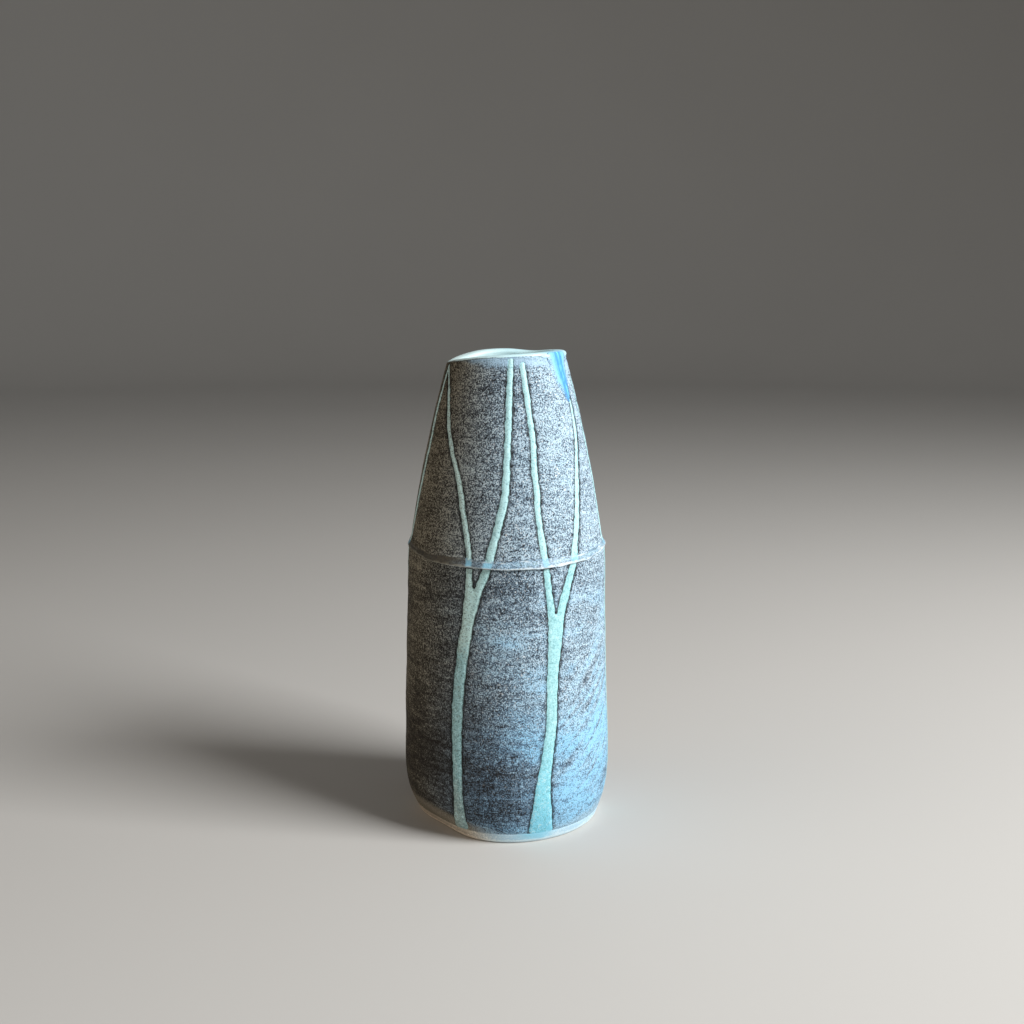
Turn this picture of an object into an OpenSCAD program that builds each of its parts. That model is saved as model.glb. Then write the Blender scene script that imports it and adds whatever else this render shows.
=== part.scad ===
// Ceramic bud vase, hand built from rolled clay slabs.
// A tapered upper wall laps over a lower wall that stands on a base slab, six forked trees
// are inlaid in coloured glaze round the outside, and glaze lines the inside and the rim.
// Millimetres, +Z up, origin at the middle of the foot. Azimuth 0 is the front (-Y), and
// azimuth grows towards +X.

/* [Base and lower wall] */
// Radius of the flat face that the vase stands on
foot_r = 25.6; // [22:0.1:27]
// Radius of the widest part of the lower wall
belly_r = 29; // [27:0.1:33]
// Height of the widest part, where the rounding of the foot ends
belly_z = 18; // [12:0.5:30]
// How much the lower wall leans in for each millimetre above the belly
lower_lean = 0.03; // [0:0.005:0.06]
// Thickness of the base slab in the middle
base_t = 4.5; // [3.5:0.1:6]
// Height of the base slab's edge, which the lower wall stands on
base_edge_h = 3; // [2:0.1:3.2]
// Thickness of the lower wall
lower_t = 4; // [3:0.1:5]

/* [Upper wall] */
// Height of the hem, the lower edge of the upper wall
hem_z = 76; // [70:0.5:82]
// Radius of the lip that the hem turns out to
lip_r = 27.9; // [27.6:0.1:29]
// Height of the scarf face where the two walls lie on each other
lap_h = 6; // [4:0.5:8]
// Radius of the shoulder line where it meets the hem
shoulder_r = 26.95; // [26.5:0.05:27.5]
// Lean of the shoulder at the hem, in millimetres of radius for each millimetre of height
shoulder_lean = 0.125; // [0.1:0.005:0.15]
// Growth of that lean with height, which rounds the shoulder
shoulder_bend = 0.0015; // [0.001:0.0001:0.0018]
// Thickness of the upper wall at the rim
rim_t = 3.6; // [3:0.1:4.5]

/* [Rim] */
// Height of the middle of the rim
rim_z = 129.8; // [125:0.1:135]
// Slope of the rim, which is low on the -X side
rim_slope = 5.4; // [0:0.1:8]

/* [Glaze] */
// Thickness of the glaze inside the vase
lining_t = 0.3; // [0.2:0.05:0.6]
// Thickness of the glaze on top of the rim
rim_glaze_t = 0.7; // [0.4:0.1:1]
// Thickness of the blue glaze that has run down from the rim
run_t = 0.35; // [0.2:0.05:0.6]
// Depth of the channels that hold the trees
channel_depth = 0.9; // [0.6:0.1:1.2]
// Depth of the glaze in the channels
inlay_t = 0.6; // [0.3:0.1:0.6]

/* [Joint coils] */
// Width of the clay coil pressed into the corner between base and wall
base_coil_w = 4; // [2:0.5:6]
// Height of the clay coil pressed over the lap joint inside
lap_coil_h = 8; // [6:0.5:12]
// How far that coil stands in from the wall
lap_coil_bulge = 1.6; // [1:0.1:2.5]

/* [Hidden] */
$fn = 96;
TREE_COUNT = 6;
TREE_NUMBERS = [1 : TREE_COUNT];

CLAY = "#6c7780";
BARE_CLAY = "#cfc8bb";
TURQUOISE = "#a9d6d6";
RIM_AQUA = "#cfe9ec";
RUN_BLUE = "#63b7e6";

top_z = rim_z + 6;              // every wall is drawn up to here, then cut along the rim
lap_top_z = hem_z + lap_h;
lap_coil_z = lap_top_z - lap_coil_h / 2;
lap_coil_top_z = lap_top_z + lap_coil_h / 2;
hem_flare_z = hem_z + 3.5;      // where the turned-out lip joins the shoulder line
lip_edge_h = 0.5;               // the blunt edge of the lip
lip_hollow = 0.45;              // how deep the hollow behind the lip's edge is
reach = 40;                     // further out than any wall

// Heights that the outlines are drawn through
LOWER_Z = [base_edge_h, 5, 7, 10, 14, belly_z, 47, hem_z];
INNER_Z = [12, belly_z, 47];
UPPER_Z = [for (i = [0 : 7]) hem_flare_z + (top_z - hem_flare_z) * i / 7];
INNER_UPPER_Z = concat([lap_coil_top_z], [for (z = UPPER_Z) if (z > lap_coil_top_z) z]);

// Outer radius of the base and the lower wall
function lower_r(z) = z < belly_z
    ? foot_r + (belly_r - foot_r) * (1 - pow(1 - z / belly_z, 2.4))
    : belly_r - lower_lean * (z - belly_z);
function lower_in(z) = lower_r(z) - lower_t;

// Outer radius of the upper wall, and its inner one, which starts flush with the lower wall's
function upper_r(z) = shoulder_r - shoulder_lean * (z - hem_z)
    - shoulder_bend * pow(z - hem_z, 2);
lap_t = upper_r(lap_top_z) - lower_in(lap_top_z);
function upper_in(z) = upper_r(z) - lap_t
    - (rim_t - lap_t) * (z - lap_top_z) / (rim_z - lap_top_z);
function inner_r(z) = z < lap_top_z ? lower_in(z) : upper_in(z);

// Small helpers
function reversed(list) = [for (i = [len(list) - 1 : -1 : 0]) list[i]];
function bent(a, b, c, steps) = [for (i = [0 : steps]) let (t = i / steps)
    (1 - t) * (1 - t) * a + 2 * t * (1 - t) * b + t * t * c];

// The face of the pressed-in corner coil, moved in by d
function corner_face(d) = bent([lower_in(base_t) - base_coil_w, base_t + d],
    [lower_in(base_t) - d, base_t + d],
    [lower_in(base_t + base_coil_w) - d, base_t + base_coil_w], 4);

// The face of the coil over the lap joint, moved in by d
function lap_face(d) = [for (i = [0 : 6]) let (z = lap_coil_z + lap_coil_h * i / 6)
    [inner_r(z) - lap_coil_bulge * sin(30 * i) - d, z]];

// The whole inside of the vase from the middle of the floor to above the rim, moved in by d
function inside(d) = concat([[0, base_t + d]], corner_face(d),
    [for (z = INNER_Z) [lower_in(z) - d, z]],
    lap_face(d),
    [for (z = INNER_UPPER_Z) if (z > lap_coil_top_z) [upper_in(z) - d, z]]);

// Trees: each line is a list of [height, azimuth, width] from bottom to top
OPEN_TREE = [
    [[3.5, -28.5, 4.6], [12, -27, 3.1], [28, -28.5, 3.2], [48, -26.5, 3.4], [68, -20.5, 3.8]],
    [[62, -22.5, 2.6], [70, -21.5, 2.2], [76, -22, 1.8], [89, -27.5, 1.6], [101, -36.5, 1.3],
     [113, -49, 1.1], [122, -60, 0.9], [126, -67.5, 0.8]],
    [[62, -21, 2.6], [70, -17, 2.8], [76, -11, 2.4], [88, -4.5, 2.2], [98, -0.5, 2],
     [111, 1, 1.8], [128, 3.5, 1.5]]];
STEEP_TREE = [
    [[3.5, 20, 7], [11, 19.5, 5.4], [25, 21.5, 3.2], [43, 24.5, 3.2], [61, 28, 4.6]],
    [[55, 26, 2.4], [62, 25.5, 2.2], [76, 21.5, 1.8], [89, 19, 1.7], [102, 17.5, 1.6],
     [114, 17.5, 1.5], [127, 15, 1.4]],
    [[55, 28, 2.6], [62, 30, 2.4], [73, 37.5, 2], [88, 48, 1.8], [106, 62, 1.4],
     [113, 67, 1.2], [118.5, 67.5, 1]]];

// A regular tree: its branches leave the trunk at the fork and turn upright towards their tips
function branch(az, fork_z, tip_z, spread, w) = [for (i = [0 : 5]) let (t = i / 5)
    [fork_z + (tip_z - fork_z) * t, az + spread * sin(90 * t), w * (1 - 0.55 * t)]];
function regular_tree(az, fork_z, left, right) = [
    [[3.5, az, 5.2], [15.5, az, 3.4], [40, az - 1, 3.2], [fork_z + 4, az, 4]],
    branch(az - 1, fork_z, 124, -left, 2.4),
    branch(az + 1, fork_z, 125, right, 2.4)];

TREES = [OPEN_TREE, STEEP_TREE, regular_tree(85, 60, 5, 24), regular_tree(146, 66, 30, 27),
    regular_tree(208, 58, 27, 25), regular_tree(268, 64, 26, 18)];

// A tree's lines are drawn flat, as seen from the azimuth of its trunk's foot
function foot_az(tree) = tree[0][0][1];
function wall_r(z) = z < hem_z ? lower_r(z) : upper_r(z);
function flat(z, az, side) = [wall_r(z) * sin(az) + side, z];

module line(stations, az) {
    polygon(concat(
        [for (s = stations) flat(s[0], s[1] - az, -s[2] / 2)],
        reversed([for (s = stations) flat(s[0], s[1] - az, s[2] / 2)])));
}

// The outline drawn flat, pushed through the wall from the axis outwards at an azimuth
module pushed_out(az) {
    rotate([0, 0, az])
        rotate([90, 0, 0])
            linear_extrude(reach)
                children();
}

module tree(i, low_z, high_z) {
    az = foot_az(TREES[i]);
    pushed_out(az)
        intersection() {
            union() {
                for (stations = TREES[i])
                    line(stations, az);
            }
            translate([-reach, low_z])
                square([2 * reach, high_z - low_z]);
        }
}

// Rings of the walls between two depths below their outer faces
module lower_ring(deep, shallow) {
    rotate_extrude()
        polygon(concat([for (z = LOWER_Z) [lower_r(z) - deep, z]],
            reversed([for (z = LOWER_Z) [lower_r(z) - shallow, z]])));
}

module upper_ring(deep, shallow) {
    rotate_extrude()
        polygon(concat([for (z = UPPER_Z) [upper_r(z) - deep, z]],
            reversed([for (z = UPPER_Z) [upper_r(z) - shallow, z]])));
}

// The trees on the lower wall stop just under the hem, those on the upper wall start above it
trunk_top_z = hem_z - 0.2;
crown_low_z = hem_flare_z + 0.2;

// Everything from a depth under the sloping rim plane upwards, or a layer h thick
module over_rim(depth, h = 60) {
    translate([0, 0, rim_z])
        rotate([0, -rim_slope, 0])
            translate([-reach, -reach, -depth])
                cube([2 * reach, 2 * reach, h]);
}

module base_slab() {
    edge = [for (z = [0, 1, 2, base_edge_h]) [lower_r(z), z]];
    color(BARE_CLAY)
        rotate_extrude()
            polygon(concat([[0, 0]], edge, [[lower_in(base_edge_h), base_edge_h],
                [lower_in(base_t), base_t], [0, base_t]]));
}

module lower_wall() {
    color(CLAY)
        difference() {
            rotate_extrude()
                polygon(concat([for (z = LOWER_Z) [lower_r(z), z]],
                    [[lower_in(lap_top_z), lap_top_z]],
                    [for (z = reversed(INNER_Z)) [lower_in(z), z]],
                    [[lower_in(base_t + base_coil_w), base_t + base_coil_w],
                     [lower_in(base_t), base_t], [lower_in(base_edge_h), base_edge_h]]));
            for (i = [0 : TREE_COUNT - 1])
                intersection() {
                    lower_ring(channel_depth, -2);
                    tree(i, 0, trunk_top_z);
                }
        }
}

module upper_wall() {
    hem = [[lower_r(hem_z), hem_z], [lip_r, hem_z], [lip_r, hem_z + lip_edge_h],
        [lip_r - lip_hollow, hem_z + 2 * lip_edge_h]];
    color(CLAY)
        difference() {
            rotate_extrude()
                polygon(concat(hem, [for (z = UPPER_Z) [upper_r(z), z]],
                    [for (z = reversed(INNER_UPPER_Z)) [upper_in(z), z]],
                    [[upper_in(lap_top_z), lap_top_z]]));
            over_rim(rim_glaze_t);
            for (i = [0 : TREE_COUNT - 1])
                intersection() {
                    upper_ring(channel_depth, -2);
                    tree(i, crown_low_z, rim_z);
                }
        }
}

module base_joint_coil() {
    color(BARE_CLAY)
        rotate_extrude()
            polygon(concat(corner_face(0), [[lower_in(base_t), base_t]]));
}

module lap_joint_coil() {
    color(BARE_CLAY)
        rotate_extrude()
            polygon(concat(lap_face(0), [[inner_r(lap_top_z), lap_top_z]]));
}

module lining_glaze() {
    color(RIM_AQUA)
        difference() {
            rotate_extrude()
                polygon(concat(inside(0), reversed(inside(lining_t))));
            over_rim(rim_glaze_t);
        }
}

module rim_glaze() {
    color(RIM_AQUA)
        intersection() {
            rotate_extrude()
                polygon(concat([for (z = INNER_UPPER_Z) [upper_in(z) - lining_t, z]],
                    [for (z = reversed(INNER_UPPER_Z)) [upper_r(z), z]]));
            over_rim(rim_glaze_t, rim_glaze_t);
        }
}

module rim_glaze_run() {
    run_az = 60;
    edge = [[top_z, 44], [126, 50], [122, 57], [118.7, 66], [122, 69], [top_z, 70]];
    color(RUN_BLUE)
        difference() {
            intersection() {
                upper_ring(0, -run_t);
                pushed_out(run_az)
                    polygon([for (p = edge) flat(p[0], p[1] - run_az, 0)]);
            }
            over_rim(0);
        }
}

module seam_glaze() {
    hollow_z = hem_z + 2 * lip_edge_h;
    color(RIM_AQUA)
        rotate_extrude()
            polygon([[lip_r, hem_z + lip_edge_h], [lip_r - lip_hollow, hollow_z],
                [upper_r(hem_flare_z), hem_flare_z],
                [(upper_r(hem_flare_z) + lip_r) / 2 + 0.15, hem_z + 1.9]]);
}

module trunk_inlay(i) {
    color(TURQUOISE)
        intersection() {
            lower_ring(channel_depth, channel_depth - inlay_t);
            tree(i - 1, 0, trunk_top_z);
        }
}

module crown_inlay(i) {
    color(TURQUOISE)
        intersection() {
            upper_ring(channel_depth, channel_depth - inlay_t);
            tree(i - 1, crown_low_z, rim_z);
        }
}

base_slab();
lower_wall();
upper_wall();
base_joint_coil();
lap_joint_coil();
lining_glaze();
rim_glaze();
rim_glaze_run();
seam_glaze();
for (i = TREE_NUMBERS) {
    trunk_inlay(i);
    crown_inlay(i);
}
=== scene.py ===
"""Ceramic bud vase, hand built from clay slabs and dressed with oxide, slip and glaze.

Lengths are millimetres and angles are degrees until a mesh is made. Azimuth 0 is the front
(-Y) and grows towards +X. Every wall is a grid: rows run along its section, from the outside
at the bottom up and over to the inside, and columns run round the axis.
"""

import logging
import math
from collections.abc import Iterable, Sequence
from dataclasses import dataclass, field
from enum import Enum
from typing import Any

import bpy
import numpy as np
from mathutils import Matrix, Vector


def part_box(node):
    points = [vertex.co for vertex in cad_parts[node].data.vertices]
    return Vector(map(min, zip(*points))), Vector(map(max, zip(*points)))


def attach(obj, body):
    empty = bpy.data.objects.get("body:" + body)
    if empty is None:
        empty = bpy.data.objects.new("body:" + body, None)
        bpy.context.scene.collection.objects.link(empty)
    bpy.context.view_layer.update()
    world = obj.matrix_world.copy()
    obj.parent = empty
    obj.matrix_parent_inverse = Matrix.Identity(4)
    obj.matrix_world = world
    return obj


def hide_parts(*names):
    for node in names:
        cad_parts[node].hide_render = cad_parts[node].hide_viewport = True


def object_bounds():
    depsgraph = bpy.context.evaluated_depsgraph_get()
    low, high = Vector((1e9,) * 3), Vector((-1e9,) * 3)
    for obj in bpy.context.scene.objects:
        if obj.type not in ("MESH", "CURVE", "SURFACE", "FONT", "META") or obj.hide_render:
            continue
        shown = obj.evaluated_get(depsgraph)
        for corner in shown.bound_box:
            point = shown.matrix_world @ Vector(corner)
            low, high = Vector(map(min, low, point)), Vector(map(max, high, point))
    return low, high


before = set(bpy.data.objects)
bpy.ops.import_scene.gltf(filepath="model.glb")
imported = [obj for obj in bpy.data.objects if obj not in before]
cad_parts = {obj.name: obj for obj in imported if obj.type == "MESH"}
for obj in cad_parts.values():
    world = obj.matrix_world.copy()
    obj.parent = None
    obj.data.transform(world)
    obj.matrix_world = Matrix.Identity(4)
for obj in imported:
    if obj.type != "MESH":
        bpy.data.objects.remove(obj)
CAD_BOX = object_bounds()

MM = 0.001
BODY = "root"
COLUMNS = 420  # points round the axis
AXIS_GAP = 0.8  # radius inside which a flat face is a fan round one point
FAR = 6.0  # distance from an edge beyond which no finish changes

Grid = np.ndarray
Marks = dict[str, Grid]
# From the left colour of a pair to the right one, the change is partly painted shade on the left and
# painted light on the lit right.
Pair = tuple[str, str]  # a colour on the left side and on the right side of the vase

log = logging.getLogger("bud_vase")


class Level(Enum):
    """Which of the two walls a thing is on."""

    LOWER = "lower"
    UPPER = "upper"


class Slot(Enum):
    """The finishes of the vase, by the names that the record gives them."""

    OXIDE_CLAY = "oxide_clay"
    BARE_CLAY = "bare_clay"
    TURQUOISE = "turquoise_glaze"
    AQUA = "aqua_glaze"
    BLUE = "blue_glaze"
    LINING = "lining_glaze"


def cad_box(node: str) -> tuple[Grid, Grid]:
    """Lowest and highest corner of a node of the frame, in millimetres."""
    low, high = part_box(node)
    return np.array(low) / MM, np.array(high) / MM


def ease(x: Grid, low: float, high: float) -> Grid:
    """Rises smoothly from 0 at low to 1 at high, or falls where high is below low."""
    t = np.clip((x - low) / (high - low), 0, 1)
    return t * t * (3 - 2 * t)


def hump(x: Grid, middle: float, width: float) -> Grid:
    """A bell of height 1 round middle, for round angles use turn() on x first."""
    return np.exp(-(((x - middle) / width) ** 2))


def turn(az: Grid, middle: float) -> Grid:
    """Azimuth measured from middle, from -180 to 180."""
    return (az - middle + 180) % 360 - 180


class HandNoise:
    """Smooth seeded unevenness over the unrolled vase, unbroken where a wall closes."""

    AROUND = 2 * math.pi * 27
    LOWEST = -10.0
    TALL = 160.0

    def __init__(self, seed: int, cell: float, stretch: float = 1.0) -> None:
        """Lays out the lattice of random values.

        Args:
            seed: number that fixes the pattern.
            cell: height of one patch.
            stretch: how many times wider than high a patch is.
        """
        self.cell = cell
        self.across = max(3, round(self.AROUND / (cell * stretch)))
        rows = math.ceil(self.TALL / cell) + 3
        self.lattice = np.random.default_rng(seed).uniform(-1, 1, (rows, self.across))

    def __call__(self, az: Grid, z: Grid) -> Grid:
        """Gives the unevenness, from -1 to 1, at azimuths and heights."""
        u = (az / 360 % 1) * self.across
        v = np.clip((z - self.LOWEST) / self.cell, 0, self.lattice.shape[0] - 2.001)
        u, v = np.broadcast_arrays(u, v)
        column = np.floor(u).astype(int)
        row = np.floor(v).astype(int)
        du = ease(u - column, 0, 1)
        dv = ease(v - row, 0, 1)
        left, right = column % self.across, (column + 1) % self.across
        below = self.lattice[row, left] * (1 - du) + self.lattice[row, right] * du
        above = self.lattice[row + 1, left] * (1 - du) + self.lattice[row + 1, right] * du
        return below * (1 - dv) + above * dv


class HandLine:
    """A smooth curve through given stations."""

    def __init__(self, *stations: tuple[float, float], period: float | None = None) -> None:
        """Keeps the stations and works out the slope at each.

        Args:
            stations: pairs of place and value, in rising order of place.
            period: length after which the curve repeats, if it does.
        """
        pairs = list(stations)
        if period is not None:
            before = [(place - period, value) for place, value in pairs[-2:]]
            after = [(place + period, value) for place, value in pairs[:2]]
            pairs = before + pairs + after
        self.period = period
        self.start = stations[0][0]
        self.places = np.array([place for place, _ in pairs], float)
        self.values = np.array([value for _, value in pairs], float)
        self.slopes = np.gradient(self.values, self.places)

    def __call__(self, x: Grid) -> Grid:
        """Gives the value at x; past an end it stays at the end's value."""
        if self.period is not None:
            x = (x - self.start) % self.period + self.start
        x = np.clip(x, self.places[0], self.places[-1])
        k = np.clip(np.searchsorted(self.places, x, side="right") - 1, 0, len(self.places) - 2)
        step = self.places[k + 1] - self.places[k]
        t = (x - self.places[k]) / step
        rise = self.slopes[k] * step
        fall = self.slopes[k + 1] * step
        a, b = self.values[k], self.values[k + 1]
        return (
            a
            + t * rise
            + t * t * (3 * (b - a) - 2 * rise - fall)
            + t * t * t * (2 * (a - b) + rise + fall)
        )


# ---------------------------------------------------------------- the form of the vase


@dataclass(frozen=True)
class VaseForm:
    """The faces of the two walls. Radii and heights that the frame has come from the frame."""

    foot_r: float = 25.6
    belly_z: float = 18.0
    foot_round: float = 2.4
    lower_lean: float = 0.03
    lower_t: float = 4.0
    shoulder_r: float = 26.95
    shoulder_lean: float = 0.125
    shoulder_bend: float = 0.0015
    rim_t: float = 3.6
    crown_h: float = 1.0
    dent_az: float = -52.0
    dent_deep: float = 3.4
    belly_r: float = CAD_BOX[1].x / MM
    top_z: float = CAD_BOX[1].z / MM
    edge_z: float = float(cad_box("lower_wall")[0][2])
    hem_z: float = float(cad_box("upper_wall")[0][2])
    lip_r: float = float(cad_box("upper_wall")[1][0])
    lap_z: float = float(cad_box("lower_wall")[1][2])
    floor_z: float = float(cad_box("base_slab")[1][2])
    hem_rise: HandLine = HandLine(
        (-100, 1.6), (-80, 1.8), (-62, 1.3), (-48, 0.5), (-30, 0.2), (-15, 0), (25, 0),
        (40, 0.3), (52, 0.6), (62, 1.2), (78, 1.8), (110, 1.3), (150, 0.8), (185, 1.0),
        (220, 1.5), period=360)
    rim_drop: HandLine = HandLine(
        (-90, 3.0), (-60, 2.3), (-30, 1.4), (0, 0.85), (30, 0.45), (60, 0.15), (90, 0.1),
        (120, 0.35), (150, 0.8), (180, 0.3), (210, 0.65), (240, 2.0), period=360)
    sway: HandNoise = HandNoise(3, 30, 1.6)
    drag: HandNoise = HandNoise(4, 3.2, 5)
    finger: HandNoise = HandNoise(5, 9, 1.4)
    tooth: HandNoise = HandNoise(6, 1.0, 1.5)

    def lower_r(self, z: Grid) -> Grid:
        """Outer radius of the base and the lower wall at height z."""
        up = np.clip(z / self.belly_z, 0, 1)
        rounding = 1 - (1 - up) ** self.foot_round
        below = self.foot_r + (self.belly_r - self.foot_r) * rounding
        return np.where(z < self.belly_z, below, self.belly_r - self.lower_lean * (z - self.belly_z))

    def upper_r(self, z: Grid) -> Grid:
        """Outer radius of the upper wall at height z."""
        up = z - self.hem_z
        return self.shoulder_r - self.shoulder_lean * up - self.shoulder_bend * up * up

    def inner_r(self, z: Grid) -> Grid:
        """Radius of the inner face of either wall at height z."""
        lap_t = self.upper_r(self.lap_z) - self.lower_r(self.lap_z) + self.lower_t
        thicker = (self.rim_t - lap_t) * (z - self.lap_z) / (self.top_z - self.lap_z)
        return np.where(z < self.lap_z, self.lower_r(z) - self.lower_t,
                        self.upper_r(z) - lap_t - thicker)

    def mouth_r(self, az: Grid, z: Grid) -> Grid:
        """Radius of the upper wall's inner face as it was really made, wavier towards the rim."""
        share = np.clip((z - self.lap_z) / (self.top_z - self.lap_z), 0, 1)
        return self.inner_r(z) + 0.12 * self.sway(az + 90, self.top_z) * share

    def hem(self, az: Grid) -> Grid:
        """Height of the hem's lower edge."""
        return self.hem_z + self.hem_rise(az)

    def rim(self, az: Grid) -> Grid:
        """Height of the top of the glazed rim."""
        return self.top_z - self.rim_drop(az)

    def uneven(self, az: Grid, z: Grid) -> Grid:
        """How far a hand-built outer face stands out from the turned form."""
        dent = self.dent_deep * hump(turn(az, self.dent_az), 0, 28) * hump(z, 0, 6)
        lean = 0.25 * np.sin(np.radians(az)) * hump(z, 40, 22)
        skin = 0.16 * self.sway(az, z) + 0.05 * self.drag(az, z) + 0.07 * self.finger(az, z)
        return skin + 0.03 * self.tooth(az, z) - dent - lean

    def outer_r(self, az: Grid, z: Grid, level: Level) -> Grid:
        """Outer radius of a wall as it was really made."""
        plain = self.lower_r(z) if level is Level.LOWER else self.upper_r(z)
        return plain + self.uneven(az, z)

    def crown_z(self, az: Grid) -> Grid:
        """Height where the upper wall starts to round over into the rim."""
        return self.rim(az) - self.crown_h


@dataclass
class Skin:
    """A grid of points on a face: rows along the section, columns round the axis."""

    az: Grid
    z: Grid
    r: Grid
    closed: bool = False

    def __post_init__(self) -> None:
        """Brings the three grids to one shape."""
        self.az, self.z, self.r = (np.array(g, float)
                                   for g in np.broadcast_arrays(self.az, self.z, self.r))

    @classmethod
    def from_rows(cls, rows: Iterable[tuple[Any, Any]], closed: bool = False) -> "Skin":
        """Builds a skin from each row's radius and height, as numbers or one per column."""
        az = column_azimuths()
        pairs = [(np.broadcast_to(r, az.shape), np.broadcast_to(z, az.shape)) for r, z in rows]
        return cls(az, np.array([z for _, z in pairs]), np.array([r for r, _ in pairs]), closed)

    def part(self, first: int, last: int) -> "Skin":
        """The open skin made of rows first to last, both included."""
        rows = slice(first, last + 1)
        return Skin(self.az[rows], self.z[rows], self.r[rows])

    def points(self, lift: float | Grid = 0.0) -> Grid:
        """Gives the points of the grid, or of the grid moved along its normals.

        Args:
            lift: how far the points are moved outwards.

        Returns:
            An array of rows, columns and three coordinates.
        """
        turned = np.radians(self.az)
        flat = np.stack([self.r * np.sin(turned), -self.r * np.cos(turned), self.z], axis=-1)
        if isinstance(lift, float) and lift == 0:
            return flat
        along = np.roll(flat, -1, axis=1) - np.roll(flat, 1, axis=1)
        if self.closed:
            up = np.roll(flat, -1, axis=0) - np.roll(flat, 1, axis=0)
        else:
            up = np.gradient(flat, axis=0)
        normal = np.cross(along, up)
        normal /= np.maximum(np.linalg.norm(normal, axis=-1, keepdims=True), 1e-9)
        return flat + normal * np.broadcast_to(lift, self.z.shape)[..., None]


def column_azimuths() -> Grid:
    """Azimuth of every column of a wall."""
    return np.arange(COLUMNS) * 360.0 / COLUMNS - 180.0


class ScoredSheet:
    """A skin's grid cut in two along the line where a field changes sign."""

    CUT_MARGIN = 0.06

    def __init__(self, away: Grid, closed: bool) -> None:
        """Sorts the cells into those outside the line, those inside it and those it cuts.

        Args:
            away: field over the grid, negative inside the line.
            closed: whether the grid's last row joins its first.
        """
        self.away = away.ravel()
        index = np.arange(away.size).reshape(away.shape)
        low = index if closed else index[:-1]
        high = np.roll(index, -1, axis=0) if closed else index[1:]
        cells = np.stack([low, np.roll(low, -1, 1), np.roll(high, -1, 1), high], -1).reshape(-1, 4)
        out = (self.away >= 0)[cells]
        count = out.sum(axis=1)
        self.first = list(range(away.size))
        self.second = list(range(away.size))
        self.share = [0.0] * away.size
        self.crossings: dict[tuple[int, int], int] = {}
        self.outside: list[list[int]] = cells[count == 4].tolist()
        self.inside: list[list[int]] = cells[count == 0].tolist()
        self.seams: list[tuple[int, int]] = []
        mixed = (count > 0) & (count < 4)
        for cell, sides in zip(cells[mixed].tolist(), out[mixed].tolist()):
            self._cut(cell, sides)

    def _crossing(self, a: int, b: int) -> int:
        """The vertex where the line crosses the edge between two corners."""
        key = (min(a, b), max(a, b))
        if key not in self.crossings:
            at_first, at_second = self.away[key[0]], self.away[key[1]]
            share = at_first / (at_first - at_second)
            self.crossings[key] = len(self.first)
            self.first.append(key[0])
            self.second.append(key[1])
            self.share.append(min(max(share, self.CUT_MARGIN), 1 - self.CUT_MARGIN))
        return self.crossings[key]

    def _cut(self, cell: list[int], sides: list[bool]) -> None:
        """Cuts one cell.

        Args:
            cell: its four corners, anticlockwise from outside.
            sides: for each corner, whether it is outside the line.
        """
        ring: list[tuple[int, bool | None]] = []
        for k in range(4):
            ring.append((cell[k], sides[k]))
            if sides[k] != sides[k - 3]:
                ring.append((self._crossing(cell[k], cell[k - 3]), None))
        outer = [item for item in ring if item[1] is not False]
        self.outside.append([vertex for vertex, _ in outer])
        for k, (vertex, side) in enumerate(outer):
            before, side_before = outer[k - 1]
            if side is None and side_before is None:
                self.seams.append((before, vertex))
        if sides[0] == sides[2] != sides[1]:
            for k, (vertex, side) in enumerate(ring):
                if side is False:
                    self.inside.append([ring[k - 1][0], vertex, ring[(k + 1) % len(ring)][0]])
        else:
            self.inside.append([vertex for vertex, side in ring if side is not True])

    def spread(self, grid: Grid) -> Grid:
        """Carries numbers or points from the grid to every vertex, those on the line included."""
        values = grid.reshape(len(self.away), -1)
        share = np.array(self.share)[:, None]
        mixed = values[self.first] * (1 - share) + values[self.second] * share
        return mixed if grid.ndim == 3 else mixed[:, 0]


def smooth_object(name: str, points: Grid, faces: list[list[int]],
                  finish: bpy.types.Material) -> bpy.types.Object:
    """Makes a smooth mesh object and puts it in the scene.

    Args:
        name: its name.
        points: its points, in metres.
        faces: its faces.
        finish: its material.

    Returns:
        The object.
    """
    mesh = bpy.data.meshes.new(name)
    mesh.from_pydata(points.tolist(), [], faces)
    mesh.polygons.foreach_set("use_smooth", [True] * len(mesh.polygons))
    mesh.materials.append(finish)
    item = bpy.data.objects.new(name, mesh)
    bpy.context.scene.collection.objects.link(item)
    return item


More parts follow.
